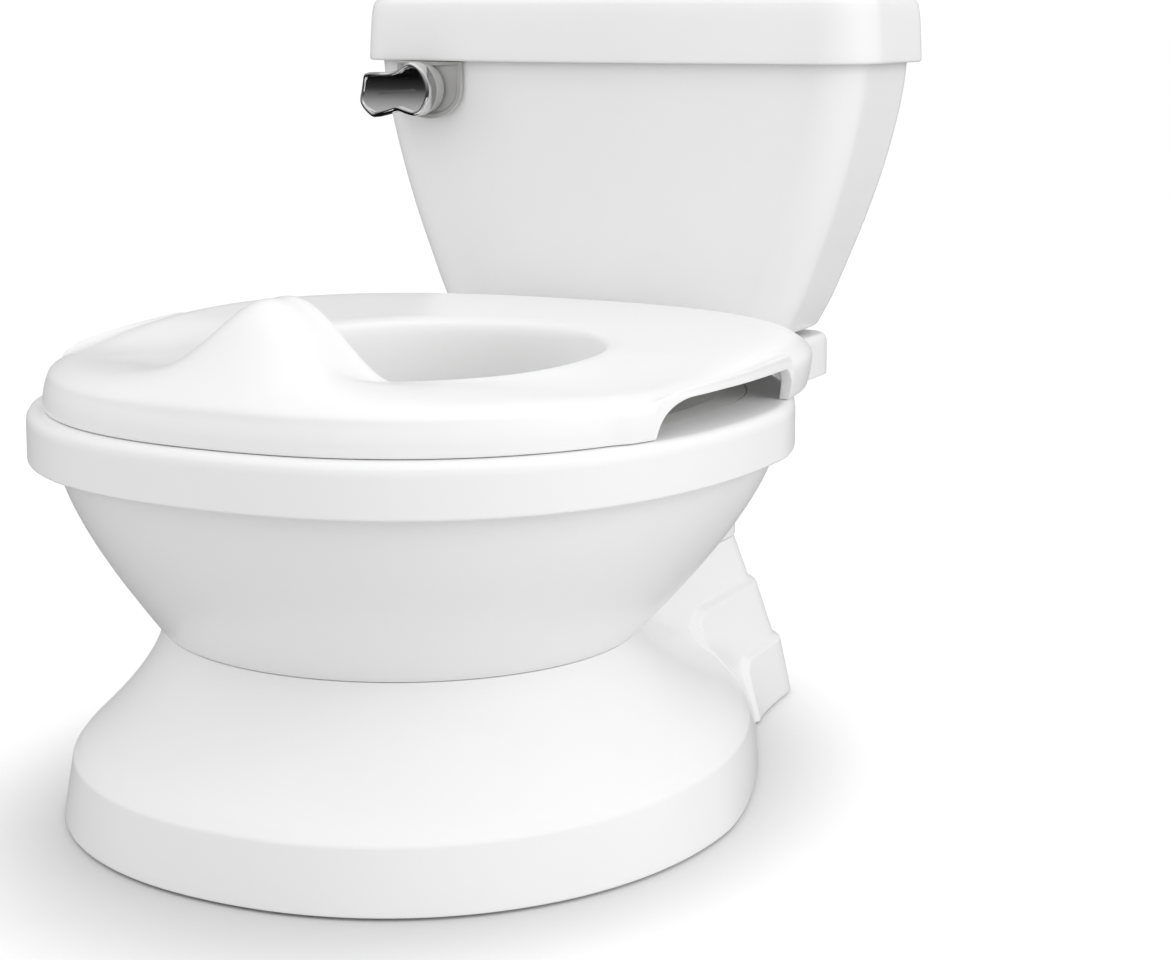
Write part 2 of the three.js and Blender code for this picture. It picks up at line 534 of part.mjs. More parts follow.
add('battery_door', block(UNIT.x1 + GAP, UNIT.x1 + 2.2, UNIT.y0 + 7, UNIT.y1 - 5, 166, 232)
  .subtract(turned(disc(1.6, 4), [UNIT.x1 - 1, 177, 229], 'x', 10)), grey);
add('battery_door_screw', turned([[0, 0], [1.4, 0.4], [1.4, 3.5], [2.8, 3.5], [2.8, 5], [0, 5]],
  [UNIT.x1 - 1, 177, 229], 'x', 12), steel);
[['front', 166.5], ['rear', 187.5]].forEach(([place, y]) => {
  add(`battery_${place}`, turned([[0, 0], [5.1, 0], [5.1, 43.3], [2, 43.3], [2, 44.3], [0, 44.3]],
    [-54, y, 170.2], 'z', 16), cell);
  add(`battery_contact_${place}`, turned([[0, 0], [4.2, 0], [1.6, 6], [0, 6]],
    [-54, y, UNIT.z0 + 2 + GAP], 'z', 12), steel);
});
const BOARD_Z = UNIT.z1 + 2.2 + GAP;
add('circuit_board', block(-74, -38, 150, 202, BOARD_Z, BOARD_Z + 1.6), board);
add('speaker', turned([[0, 0], [12, 0], [15, 3], [15, 5.5], [13, 5.5], [5, 4], [0, 4.6]],
  [-56, 184, BOARD_Z + 1.6 + GAP], 'z', 24), black);
const switchHole = turned(disc(1.8, 5.4), [SWITCH_X + 1.8, 157, LEVER.z - 9], 'x', 12);
add('switch_body', block(SWITCH_X + 2.8, -66, 151.5, 162.5, BOARD_Z + 1.6 + GAP, 261)
  .subtract(switchHole), black);
add('switch_button', turned([[0, 0], [1.5, 0.4], [1.5, 3.6], [0, 3.6]],
  [SWITCH_X, 157, LEVER.z - 9], 'x', 12), grey);

export default group;
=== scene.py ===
"""Potty training chair shaped like a small toilet: fine surfaces, materials and light."""

import json
import math

import bpy
import numpy as np
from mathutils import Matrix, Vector


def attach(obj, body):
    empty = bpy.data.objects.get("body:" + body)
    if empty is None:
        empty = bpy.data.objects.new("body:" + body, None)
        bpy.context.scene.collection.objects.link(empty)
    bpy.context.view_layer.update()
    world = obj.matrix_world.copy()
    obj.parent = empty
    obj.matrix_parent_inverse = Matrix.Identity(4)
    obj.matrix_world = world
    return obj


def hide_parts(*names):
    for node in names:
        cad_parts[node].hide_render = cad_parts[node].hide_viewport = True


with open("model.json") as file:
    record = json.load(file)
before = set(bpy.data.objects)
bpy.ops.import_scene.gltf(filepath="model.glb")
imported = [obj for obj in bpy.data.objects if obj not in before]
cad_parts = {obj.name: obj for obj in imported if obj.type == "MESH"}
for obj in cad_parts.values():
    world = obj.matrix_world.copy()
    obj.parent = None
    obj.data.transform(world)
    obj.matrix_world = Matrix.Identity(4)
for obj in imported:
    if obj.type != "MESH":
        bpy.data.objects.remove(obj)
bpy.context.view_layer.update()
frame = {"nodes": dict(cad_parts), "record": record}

MM = 0.001
DEG = math.pi / 180
CENTRE_Y = 32.3           # middle of the footprint, measured from the bowl's middle, mm

# ---- main sizes, mm, about the middle of the bowl, with the floor at 0 --------------
GAP = 0.2                 # clearance between pieces that rest on each other
WALL = 3
PAD_HEIGHT = 1            # how far the pads hold the pedestal off the floor
BAND_Z = 24.5             # top of the foot band
SHOULDER_Z = 28.5
FLARE_Z = 35              # where the flare starts
WAIST_Z = 70              # top of the pedestal and foot of the bowl
RIM_Z = 137               # underside of the rim band
RIM_TOP = 156
LEDGE_Z = RIM_TOP - 2.6   # ledge inside the rim that carries the pot
SEAT_FOOT = RIM_TOP + GAP
SEAT_TOP = 172.5
GUARD_RISE = 29           # peak of the splash guard above the seat
COLLAR_Z = 140            # bottom of the collar below the seat's hole
FINGER_Y = (-76.5, 20.5)  # front and rear end of the finger gaps
FINGER_TOP = 168.4
TANK_FOOT_Z = 158.4
TANK_TOP = 283
LID_Z = 277.4
LID_TOP = 306

# an oval has a half width, a length to the front and to the rear of yc, and the
# squareness of its front and rear half
FOOT = dict(w=129.6, front=140.5, rear=216, yc=-20, nf=2.12, nr=1.5)
BAND_TOP = dict(FOOT, w=125, front=138, rear=161, nr=1.85)
SHOULDER = dict(BAND_TOP, w=122.3, front=134.2, rear=157)
FLARE_FOOT = dict(BAND_TOP, w=116, front=126.4, rear=149)
WAIST = dict(w=91.6, front=88.6, rear=88.6, yc=-32.9, nf=2, nr=2)
BOWL_TOP = dict(w=131, front=156.4, rear=120, yc=0, nf=2.3, nr=2)
UNDER_RIM = dict(BOWL_TOP, w=128, front=153, rear=115)
RIM = dict(w=141, front=166, rear=154, yc=0, nf=2.32, nr=1.6)
SEAT = dict(w=136, front=160.4, rear=124, yc=0, nf=2.3, nr=2.6)
HOLE = dict(w=70, front=86, rear=84, yc=-19, nf=2.1, nr=2.1)
POT_RIM = dict(w=111, front=136, rear=94, yc=0, nf=2.2, nr=2.1)
OPENING = dict(w=112, front=137.2, rear=95.2, yc=0, nf=2.2, nr=2.1)

# a box has a half width, a front and a rear edge, a corner radius and a bow in its front
DECK = dict(w=84, y0=60, y1=212, r=11)
LID = dict(w=123.3, y0=125.1, y1=229.4, r=24, bow=7.9)

TANK_SIDE = [(158.4, 77.5), (160, 80.5), (165, 83.5), (174, 87.8), (190, 94), (209, 101),
             (230, 107.5), (250, 112.6), (266, 115.8), (TANK_TOP, 117.6)]    # height, half width
HINGE = dict(x=70, y=228, z=274.6, r=2.6)
EAR, KNUCKLE = 6, 9.4     # widths of the hinge's knuckles on the tank and on the lid
EAR_OFFSET = 8            # from the middle of a hinge to each of the tank's two knuckles there
PIN_HOLE, BOLT_HOLE, SPINDLE_HOLE = 1.35, 3.2, 3.4    # radii
LEVER = (-84.0, 265.0)    # x and z of the lever's axis
LEVER_FACE = 116          # y
# the plate has a middle, a half width, a lowest point, the height of its round foot, the
# height where its straight sides start, and the y of its face
PLATE = dict(x=-81, z=265.0, half=16.5, low=251.5, foot=13, side=268, face=131)


# ---- outlines -----------------------------------------------------------------------
def mix(a, b, t):
    return a + (b - a) * t


def smooth(t):
    t = np.clip(t, 0, 1)
    return t * t * (3 - 2 * t)


def grow(shape, d):
    return dict(shape, w=shape["w"] + d, front=shape["front"] + d, rear=shape["rear"] + d)


def blend_oval(a, b, t):
    return {k: mix(a[k], b[k], t) for k in a}


def past_corner(qx, qy, r):
    """Distance past a corner of radius r, below 0 inside it; qx and qy start at its centre."""
    return np.hypot(np.maximum(qx, 0), np.maximum(qy, 0)) + np.minimum(np.maximum(qx, qy), 0) - r


def inside_oval(s, x, y):
    back = y > s["yc"]
    n = np.where(back, s["nr"], s["nf"])
    length = np.where(back, s["rear"], s["front"])
    return (np.abs(x) / s["w"]) ** n + (np.abs(y - s["yc"]) / length) ** n < 1


def inside_box(s, x, y):
    half = (s["y1"] - s["y0"]) / 2
    qx = np.abs(x) - s["w"] + s["r"]
    qy = np.abs(y - s["y0"] - half) - half + s["r"]
    return past_corner(qx, qy, s["r"]) < 0


FARTHEST, HALVINGS = 400.0, 34        # how far reach looks, mm, and how often it halves that


def reach(inside, shape, cy, a):
    """Distance from (0, cy) to the outline in each direction."""
    lo, hi = np.zeros_like(a), np.full_like(a, FARTHEST)
    for _ in range(HALVINGS):
        mid = (lo + hi) / 2
        within = inside(shape, mid * np.cos(a), cy + mid * np.sin(a))
        lo, hi = np.where(within, mid, lo), np.where(within, hi, mid)
    return lo


def fan(spans, scale=1):
    """Directions all the way round, from (from, to, steps) spans of the right half in degrees."""
    half = [mix(lo, hi, i / (n * scale)) for lo, hi, n in spans for i in range(n * scale)]
    return np.array(half + [90.0] + [180 - a for a in half[:0:-1]]) * DEG


HUB_Y = 40                            # the rings of the pedestal and the bowl fan out from here
HUB_FAN = fan([(-90, -10, 13), (-10, 20, 6), (20, 46, 18), (46, 74, 7), (74, 90, 2)], 4)
POT_FAN = fan([(-90, 0, 24), (0, 90, 24)], 3)
SEAT_FAN = fan([(-90, -36, 38), (-36, -22, 36), (-22, 3, 24), (3, 10, 24), (10, 90, 56)])
CREASE = 24                           # how sharply an oval and a box run into each other


def around(r, z, cy=HUB_Y, a=HUB_FAN):
    """Ring of points at height z, each at its own distance from (0, cy)."""
    return np.stack([r * np.cos(a), cy + r * np.sin(a), np.full_like(a, z)], 1)


def ring(z, oval, box=None, inset=0.0, cy=HUB_Y, a=HUB_FAN):
    """One ring of a moulding at height z: an oval, or an oval and a box run together."""
    r = reach(inside_oval, oval, cy, a)
    if box:
        r = (r ** CREASE + reach(inside_box, box, cy, a) ** CREASE) ** (1 / CREASE)
    return around(r - inset, z, cy, a)


def egg(z, oval, a=POT_FAN):
    return ring(z, oval, cy=0, a=a)


CORNER_STEPS, REAR_STEPS, FRONT_STEPS = 14, 10, 24    # in the outline of a box
LEAST_CORNER = 1.5                    # radius that a box's corners keep when it is drawn in


def box_ring(z, s, inset=0.0):
    """Outline of a rounded box, with its bow in front if it has one."""
    w, y0, y1 = s["w"] - inset, s["y0"] + inset, s["y1"] - inset
    r, bow = max(s["r"] - inset, LEAST_CORNER), s.get("bow", 0)
    pts = []

    def corner(cx, cy, start):
        for i in range(CORNER_STEPS + 1):
            a = (start + i * 90 / CORNER_STEPS) * DEG
            pts.append((cx + r * math.cos(a), cy + r * math.sin(a), z))

    corner(w - r, y0 + bow + r, -90)
    corner(w - r, y1 - r, 0)
    pts.extend((mix(w - r, r - w, i / REAR_STEPS), y1, z) for i in range(1, REAR_STEPS))
    corner(r - w, y1 - r, 90)
    corner(r - w, y0 + bow + r, 180)
    for i in range(1, FRONT_STEPS):
        u = 2 * i / FRONT_STEPS - 1
        pts.append((u * (w - r), y0 + bow * u * u, z))
    return np.array(pts)


def lifted(ring_points, z):
    out = ring_points.copy()
    out[:, 2] = z
    return out


def drawn_in(ring_points, d, cy=HUB_Y):
    """The ring drawn in towards (0, cy) by d."""
    out = ring_points.copy()
    rel = out[:, :2] - (0, cy)
    out[:, :2] -= rel * d / np.linalg.norm(rel, axis=1, keepdims=True)
    return out


# ---- surfaces -----------------------------------------------------------------------
SHORTEST = 1e-6                       # length that stands in for none, so that nothing divides by 0
MOST_ROUNDED = 0.48                   # share of a side that rounding one of its ends can take


def soften(stack, steps=3):
    """Rounds the corners of a stack of (ring, radius) pairs that closes on itself."""
    out = []
    rings = [r for r, _ in stack]
    for i, (p, radius) in enumerate(stack):
        if not radius:
            out.append(p)
            continue
        ends = []
        for q in (rings[i - 1], rings[(i + 1) % len(rings)]):
            d = q - p
            length = np.maximum(np.linalg.norm(d, axis=1, keepdims=True), SHORTEST)
            ends.append(p + d * np.minimum(radius / length, MOST_ROUNDED))
        for k in range(steps + 1):
            t = k / steps
            out.append((1 - t) ** 2 * ends[0] + 2 * t * (1 - t) * p + t * t * ends[1])
    return out


def flow(rings, steps=5):
    """Smooth surface through every ring of a stack."""
    out = []
    span = [max(float(np.mean(np.linalg.norm(b - a, axis=1))), SHORTEST) ** 0.5
            for a, b in zip(rings, rings[1:])]
    for i in range(len(rings) - 1):
        p1, p2, d = rings[i], rings[i + 1], span[i]
        d0, d2 = span[max(i - 1, 0)], span[min(i + 1, len(span) - 1)]
        p0 = rings[i - 1] if i else 2 * p1 - p2
        p3 = rings[i + 2] if i + 2 < len(rings) else 2 * p2 - p1
        m1 = d * ((p1 - p0) / d0 - (p2 - p0) / (d0 + d) + (p2 - p1) / d)
        m2 = d * ((p2 - p1) / d - (p3 - p1) / (d + d2) + (p3 - p2) / d2)
        for k in range(steps):
            t = k / steps
            out.append((2 * t ** 3 - 3 * t ** 2 + 1) * p1 + (t ** 3 - 2 * t ** 2 + t) * m1
                       + (3 * t ** 2 - 2 * t ** 3) * p2 + (t ** 3 - t ** 2) * m2)
    out.append(rings[-1])
    return out


def sharp(rings):
    """Rings as a part of a stack for soften that has no corners to round."""
    return [(r, 0) for r in rings]


def new_object(name, vertices, faces):
    """Mesh object from points in mm about the bowl's middle."""
    data = bpy.data.meshes.new(name)
    at = np.array(vertices, float)
    at[:, 1] -= CENTRE_Y
    data.from_pydata((at * MM).tolist(), [], faces)
    data.validate()
    obj = bpy.data.objects.new(name, data)
    bpy.context.scene.collection.objects.link(obj)
    return obj


def loft(name, rings, loop=False):
    """Skin over a stack of rings, closed by its end rings or joined back to its first."""
    n = len(rings[0])
    faces = []
    for i in range(len(rings) if loop else len(rings) - 1):
        a, b = i * n, (i + 1) % len(rings) * n
        for j in range(n):
            k = (j + 1) % n
            faces.append((a + j, a + k, b + k, b + j))
    if not loop:
        faces.append(tuple(range(n))[::-1])
        faces.append(tuple(range((len(rings) - 1) * n, len(rings) * n)))
    return new_object(name, np.concatenate(rings), faces)


def turned(name, profile, at, sides, axis="z"):
    """Turned solid from (radius, height) pairs, standing along an axis from a point."""
    rings = []
    a = np.arange(sides) / sides * 2 * math.pi
    for r, h in profile:
        u, v, t = r * np.cos(a), r * np.sin(a), np.full(sides, float(h))
        cols = {"z": (u, v, t), "y": (v, t, u), "x": (t, u, v)}[axis]
        rings.append(np.stack(cols, 1) + np.array(at, float))
    return loft(name, rings)


def disc(r, h, edge=0.0):
    """Profile for turned: a plain disc, or one with edges rounded by this much."""
    if not edge:
        return [(r, 0), (r, h)]
    return [(r - edge, 0), (r - edge * 0.3, edge * 0.3), (r, edge), (r, h - edge),
            (r - edge * 0.3, h - edge * 0.3), (r - edge, h)]


def block(name, x0, x1, y0, y1, z0, z1):
    """Plain block; only ever a part of a piece."""
    front = np.array([(x0, y0, z0), (x1, y0, z0), (x1, y0, z1), (x0, y0, z1)], float)
    return loft(name, [front + np.array((0, y1 - y0, 0)), front])


def combine(obj, tool, operation):
    """Exact boolean of two closed meshes; the tool goes."""
    mod = obj.modifiers.new("combine", "BOOLEAN")
    mod.operation, mod.object, mod.solver = operation, tool, "EXACT"
    bpy.context.view_layer.update()
    graph = bpy.context.evaluated_depsgraph_get()
    made = bpy.data.meshes.new_from_object(obj.evaluated_get(graph))
    obj.modifiers.remove(mod)
    old, obj.data = obj.data, made
    bpy.data.meshes.remove(old)
    bpy.data.objects.remove(tool)


def bore(obj, radius, length, at, sides=20, axis="z"):
    """Round hole in a piece, along an axis from a point."""
    combine(obj, turned("bore", disc(radius, length), at, sides, axis), "DIFFERENCE")


def finish_piece(obj, body, slot, *nodes, angle=38):
    """Gives a piece its shading and its slot's material, hangs it on its body and hides the CAD nodes it
    stands for.
    """
    obj.data.materials.clear()
    obj.data.materials.append(MATERIALS[slot])
    for poly in obj.data.polygons:
        poly.use_smooth = True
    obj.data.set_sharp_from_angle(angle=angle * DEG)
    weighted = obj.modifiers.new("weighted", "WEIGHTED_NORMAL")
    weighted.keep_sharp = True
    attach(obj, body)
    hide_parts(*nodes)


# ---- materials ----------------------------------------------------------------------
MOTTLE, GLOSS_MOTTLE = 14, 60         # scales of the noise in the colour and in the gloss
GRAIN_HEIGHT = 0.0002                 # m
COAT_ROUGHNESS = 0.12


def moulded(name, color, roughness, spread=0.03, bump=0.04, grain=1400, metallic=0.0,
            coat=0.0, tint=0.985):
    """Plastic, rubber or metal with faint mottling, uneven gloss and a fine surface grain."""
    mat = bpy.data.materials.new(name)
    mat.use_nodes = True
    nodes, links = mat.node_tree.nodes, mat.node_tree.links
    shader = nodes["Principled BSDF"]
    shader.inputs["Metallic"].default_value = metallic
    shader.inputs["Coat Weight"].default_value = coat
    shader.inputs["Coat Roughness"].default_value = COAT_ROUGHNESS
    where = nodes.new("ShaderNodeTexCoord")

    def noise(scale, detail=3.0):
        node = nodes.new("ShaderNodeTexNoise")
        node.inputs["Scale"].default_value = scale
        node.inputs["Detail"].default_value = detail
        links.new(where.outputs["Object"], node.inputs["Vector"])
        return node.outputs["Fac"]

    ramp = nodes.new("ShaderNodeValToRGB")
    ramp.color_ramp.elements[0].color = (*(c * tint for c in color), 1)
    ramp.color_ramp.elements[1].color = (*color, 1)
    ramp.color_ramp.elements[0].position = 0.35
    ramp.color_ramp.elements[1].position = 0.65
    links.new(noise(MOTTLE), ramp.inputs["Fac"])
    links.new(ramp.outputs["Color"], shader.inputs["Base Color"])

    gloss = nodes.new("ShaderNodeMapRange")
    gloss.inputs["To Min"].default_value = roughness - spread
    gloss.inputs["To Max"].default_value = roughness + spread
    links.new(noise(GLOSS_MOTTLE), gloss.inputs["Value"])
    links.new(gloss.outputs["Result"], shader.inputs["Roughness"])

    relief = nodes.new("ShaderNodeBump")
    relief.inputs["Strength"].default_value = bump
    relief.inputs["Distance"].default_value = GRAIN_HEIGHT
    links.new(noise(grain, 2.0), relief.inputs["Height"])
    links.new(relief.outputs["Normal"], shader.inputs["Normal"])
    return mat


LOOKS = {
    "white_plastic": dict(color=(0.86, 0.86, 0.86), roughness=0.36, coat=0.12),
    "pot_plastic": dict(color=(0.8, 0.8, 0.79), roughness=0.42, coat=0.05),
    "chrome": dict(color=(0.72, 0.72, 0.72), roughness=0.1, bump=0.02, grain=700, metallic=1.0),
    "satin_trim": dict(color=(0.5, 0.5, 0.485), roughness=0.3, metallic=0.25, coat=0.2),
    "foot_rubber": dict(color=(0.62, 0.62, 0.6), roughness=0.8, bump=0.3, grain=2400),
    "screw_steel": dict(color=(0.55, 0.56, 0.57), roughness=0.3, bump=0.08, grain=2600, metallic=1.0),
    "grey_plastic": dict(color=(0.42, 0.43, 0.44), roughness=0.5, bump=0.12, grain=1800),
    "black_plastic": dict(color=(0.02, 0.02, 0.021), roughness=0.5, bump=0.12, grain=1800),
    "circuit_board": dict(color=(0.014, 0.15, 0.06), roughness=0.4, tint=0.8),
    "battery_wrap": dict(color=(0.5, 0.27, 0.05), roughness=0.35, tint=0.9, coat=0.3),
}
MATERIALS = {slot: moulded(slot, **look) for slot, look in LOOKS.items()}
for part in frame["record"]["subparts"]:
    node = frame["nodes"][part["node"]]
    node.data.materials.clear()
    node.data.materials.append(MATERIALS[part["material_slot"]])


# ---- pedestal -----------------------------------------------------------------------
NECK = 14                             # how sharply the round front meets the trapway
FLARE_CURVE = 1.5
LOW_LEDGE, HIGH_LEDGE = 25.5, 50.4    # tops of the trapway's two raised panels
LOW_FRONT, HIGH_FRONT = 104, 79.5     # y at which each panel starts
LOW_CORNER, HIGH_CORNER = 15, 19      # radius of each panel's upper front corner
PANEL = 3                             # how far each panel stands proud
PANEL_EDGE = 0.6                      # width of a panel's soft edge
ROUNDING, TAPS = 0.6, 7               # each ring is the mean of this many, up and down by this much
FLANGE = 15                           # width of the ledge the bowl stands on
PAD_ANGLES = (-148, -32, -113, -67, 119, 61)
PAD_INSET = 11.5                      # from the foot's edge to the middle of a pad
PAD_BOSS = [(8.6, 0), (8, 10)]        # radius, height
BASE_SCREWS = [(-57, -92), (57, -92), (-49.2, 157), (49.2, 157)]


def trapway(z):
    """Squared rear part of the pedestal behind its raised panels."""
    w = np.interp(z, [0, LOW_LEDGE, LOW_LEDGE + 0.1, HIGH_LEDGE, WAIST_Z], [80, 75.5, 75.5, 67.5, 60.5])
    return dict(w=w, y0=20, y1=mix(174, 168, z / WAIST_Z), r=20)


def pedestal_oval(z):
    """Outline of the round front at height z: foot band, shoulder, then flare."""
    heights = [PAD_HEIGHT, BAND_Z, SHOULDER_Z, FLARE_Z]
    ovals = [FOOT, BAND_TOP, SHOULDER, FLARE_FOOT]
    t = np.clip((z - FLARE_Z) / (WAIST_Z - FLARE_Z), 0, 1)
    flare = blend_oval(WAIST, FLARE_FOOT, (1 - t) ** FLARE_CURVE)
    return {k: np.where(z < FLARE_Z, np.interp(z, heights, [oval[k] for oval in ovals]), flare[k])
            for k in WAIST}


def panel(y, z, front, top, radius):
    """1 inside a raised panel with a rounded upper front corner, 0 outside, soft between."""
    d = past_corner(front + radius - y, z - top + radius, radius)
    return smooth(0.5 - d / PANEL_EDGE / 2)


def pedestal_skin(levels):
    """Rings of the pedestal's outside at these heights, creases and panel edges rounded."""
    taps = np.linspace(-ROUNDING, ROUNDING, TAPS)
    z = np.clip(levels[:, None] + taps, PAD_HEIGHT, WAIST_Z).reshape(-1, 1)
    a = np.broadcast_to(HUB_FAN, (len(z), len(HUB_FAN)))
    box = trapway(z)
    square_part = reach(inside_box, box, HUB_Y, a)
    for _ in range(2):                # a panel's width moves its edge, so it is found in two goes
        y = HUB_Y + square_part * np.sin(a)
        proud = PANEL * (panel(y, z, HIGH_FRONT, HIGH_LEDGE, HIGH_CORNER)
                         + panel(y, z, LOW_FRONT, LOW_LEDGE, LOW_CORNER))
        square_part = reach(inside_box, dict(box, w=box["w"] + proud), HUB_Y, a)
    round_part = reach(inside_oval, pedestal_oval(z), HUB_Y, a)
    r = (round_part ** NECK + square_part ** NECK) ** (1 / NECK)
    r = r.reshape(len(levels), TAPS, -1).mean(axis=1)
    return [around(r[i], h) for i, h in enumerate(levels)]


# heights of the rings, closer together at the shoulder and at the top of the high panel
levels = np.concatenate([[PAD_HEIGHT + 1, 4], np.arange(7, 21, 2.5), np.arange(21, 30, 0.4),
                         np.arange(30, 46, 2), np.arange(46.5, 53, 0.35), np.arange(54, 69.5, 2)])
skin = pedestal_skin(levels)
foot_ring, waist_ring = skin[0], pedestal_skin(np.array([WAIST_Z]))[0]
inside = pedestal_skin(np.array([PAD_HEIGHT, BAND_Z - 3, FLARE_Z, 46, 58]))
under_flange = lifted(waist_ring, WAIST_Z - WALL)
stack = [(lifted(foot_ring, PAD_HEIGHT), 0.9)] + sharp(skin) + [
    (lifted(waist_ring, WAIST_Z), 0.5), (drawn_in(waist_ring, FLANGE), 0.3),
    (drawn_in(under_flange, FLANGE), 0.3), (drawn_in(under_flange, WALL), 0)]
stack += sharp(drawn_in(r, WALL + 1) for r in inside[:0:-1]) + [(drawn_in(inside[0], WALL + 1.5), 0.4)]
pedestal = loft("pedestal", soften(stack), loop=True)

foot_box = trapway(0)
foot_box["w"] += 2 * PANEL
for angle in PAD_ANGLES:
    a = np.array([angle * DEG])
    r = max(reach(inside_oval, FOOT, HUB_Y, a)[0], reach(inside_box, foot_box, HUB_Y, a)[0]) - PAD_INSET
    x, y = r * math.cos(a[0]), HUB_Y + r * math.sin(a[0])
    combine(pedestal, turned("boss", PAD_BOSS, (x, y, PAD_HEIGHT), 24), "UNION")
    bore(pedestal, 2.7, 6.9, (x, y, PAD_HEIGHT - 1))
for x, y in BASE_SCREWS:
    bore(pedestal, 2.2, 8, (x, y, WAIST_Z - 5))
finish_piece(pedestal, "chair", "white_plastic", "pedestal_shell", angle=50)


# ---- bowl, rim and deck -------------------------------------------------------------
BOWL_CURVE = 1.45
BOWL_WALL = WALL + 0.6
BOWL_FOOT = WAIST_Z + GAP
WELL_FLOOR = WAIST_Z + 6
RECESS = grow(OPENING, 7.1)           # outline of the recess that takes the pot's brim
TANK_BOLTS = [(-24, 158), (24, 158)]


def bowl_oval(z):
    return blend_oval(WAIST, BOWL_TOP, 1 - (1 - (z - WAIST_Z) / (RIM_Z - WAIST_Z)) ** BOWL_CURVE)


def column(z):
    t = (z - WAIST_Z) / (RIM_Z - WAIST_Z)
    return dict(w=mix(60.5, 59, t), y0=20, y1=mix(168, 172, t), r=18)


foot_edge = ring(BOWL_FOOT, bowl_oval(BOWL_FOOT), column(BOWL_FOOT), inset=0.2)
flank = [ring(z, bowl_oval(z), column(z)) for z in np.linspace(72, RIM_Z - 3, 24)]
rim = [(ring(RIM_Z, bowl_oval(RIM_Z), column(RIM_Z)), 2.5),
       (ring(RIM_Z, RIM, DECK), 1.1), (ring(RIM_TOP, RIM, DECK), 4.8),
       (ring(RIM_TOP, RECESS), 0.4), (ring(LEDGE_Z, RECESS), 0.3),
       (ring(LEDGE_Z, OPENING), 0.6), (ring(RIM_TOP - 5, OPENING), 0),
       (ring(RIM_TOP - 5.1, UNDER_RIM), 1), (ring(RIM_Z + 1, grow(BOWL_TOP, -WALL - 1)), 0)]
well = [ring(z, grow(bowl_oval(z), -BOWL_WALL)) for z in (126, 112, 98, 86)]
well_floor = [(ring(WELL_FLOOR, grow(bowl_oval(WELL_FLOOR), -BOWL_WALL)), 3),
              (ring(WELL_FLOOR, grow(WAIST, -40)), 0)]
# the first and last ring only steer the rounding
bowl = loft("bowl", soften([(foot_edge, 0.4)] + sharp(flank) + rim + sharp(well) + well_floor, 4)[1:-1])

hollow_foot, hollow_top = WAIST_Z - 1, RIM_Z + 4
column_hollow = []
for z, y0 in ((hollow_foot, 63), (RIM_Z - 1, 126), (hollow_top, 128)):
    y1 = mix(164, 168, (z - hollow_foot) / (hollow_top - hollow_foot))
    column_hollow.append(box_ring(z, dict(w=55.5, y0=y0, y1=y1, r=14)))
combine(bowl, loft("hollow", column_hollow), "DIFFERENCE")
deck_hollow = [box_ring(z, dict(w=79, y0=128, y1=206, r=8)) for z in (RIM_Z + 3.9, RIM_TOP - 3.6)]
combine(bowl, loft("hollow", deck_hollow), "DIFFERENCE")
for x, y in BASE_SCREWS[2:]:
    combine(bowl, turned("boss", disc(5.5, 20), (x, y, BOWL_FOOT + 0.02), 24), "UNION")
for x, y in BASE_SCREWS:
    bore(bowl, 2.15, 6, (x, y, WAIST_Z - 0.5))
for x, y in TANK_BOLTS:
    bore(bowl, BOLT_HOLE, 8, (x, y, RIM_TOP - 6), 24)
finish_piece(bowl, "chair", "white_plastic", "bowl_shell", angle=45)


# ---- removable pot ------------------------------------------------------------------
BRIM_FOOT, BRIM_TOP = LEDGE_Z + GAP, RIM_TOP - GAP
# half width, length to the front and to the rear, after a height where one is given
BRIM = (118.8, 143.9, 101.9)
POT_OUTSIDE = [(86.5, 74, 96, 52), (104, 88, 112, 68), (130, 103, 127, 84), (BRIM_FOOT, 111, 136, 94)]
POT_INSIDE = [(BRIM_TOP, 108.6, 133.6, 91.6), (130, 100.6, 124.6, 81.6), (104, 85.6, 109.6, 65.6),
              (89, 71.5, 93.5, 49.5)]


def pot_at(z, w, front, rear):
    return egg(z, dict(POT_RIM, w=w, front=front, rear=rear))


pot_outside = flow([pot_at(*station) for station in POT_OUTSIDE])
pot_inside = flow([pot_at(*station) for station in POT_INSIDE])
pot = loft("pot", soften(
    [(pot_at(84, 40, 62, 18), 0), (pot_at(84, 70, 92, 48), 3)] + sharp(pot_outside[:-1])
    + [(pot_outside[-1], 0.5), (pot_at(BRIM_FOOT, *BRIM), 0.5), (pot_at(BRIM_TOP, *BRIM), 0.4),
       (pot_inside[0], 0.6)]
    + sharp(pot_inside[1:]) + [(pot_at(86.6, 68, 90, 46), 3), (pot_at(86.6, 40, 62, 18), 0)]))
finish_piece(pot, "pot", "pot_plastic", "inner_pot")


# ---- seat with splash guard ---------------------------------------------------------
GUARD_HALF = 34                       # half width of the guard's peak at the hole
EDGE_RISE = 5                         # the rear of the seat's edge above its front
THIGH_DIP = 4
CHEEK = 1.6                           # how far the wall stands proud in front of a finger gap
FINGER_FRONT, FINGER_REAR = 20, 8     # length of each finger gap's rounded ends
UNDER_INSET = 3.5                     # the seat's underside starts this far inside its edge
UNDER_HOLE = 4                        # and ends this far outside its hole


def guard(x, y, rho):
    """Height of the guard: a narrow peak at the hole that spreads out towards the front."""
    across = np.abs(x)
    spread = smooth((105 - across) / 45) / (1 + (across / mix(GUARD_HALF, 25, rho)) ** 2.4)
    peak = np.cos(np.minimum(across / GUARD_HALF, 1) * math.pi / 2) ** 1.5
    rise = GUARD_RISE * smooth(rho / 0.7) * mix(spread, peak, smooth((rho - 0.15) / 0.8))
    return np.where(y > 0, 0, rise)


def edge_rise(y):
    return EDGE_RISE * smooth((y + 110) / 160)


def thigh_dip(x, y):
    return THIGH_DIP * smooth((np.abs(x) - 30) / 50) * smooth((60 - np.abs(y + 55)) / 60)


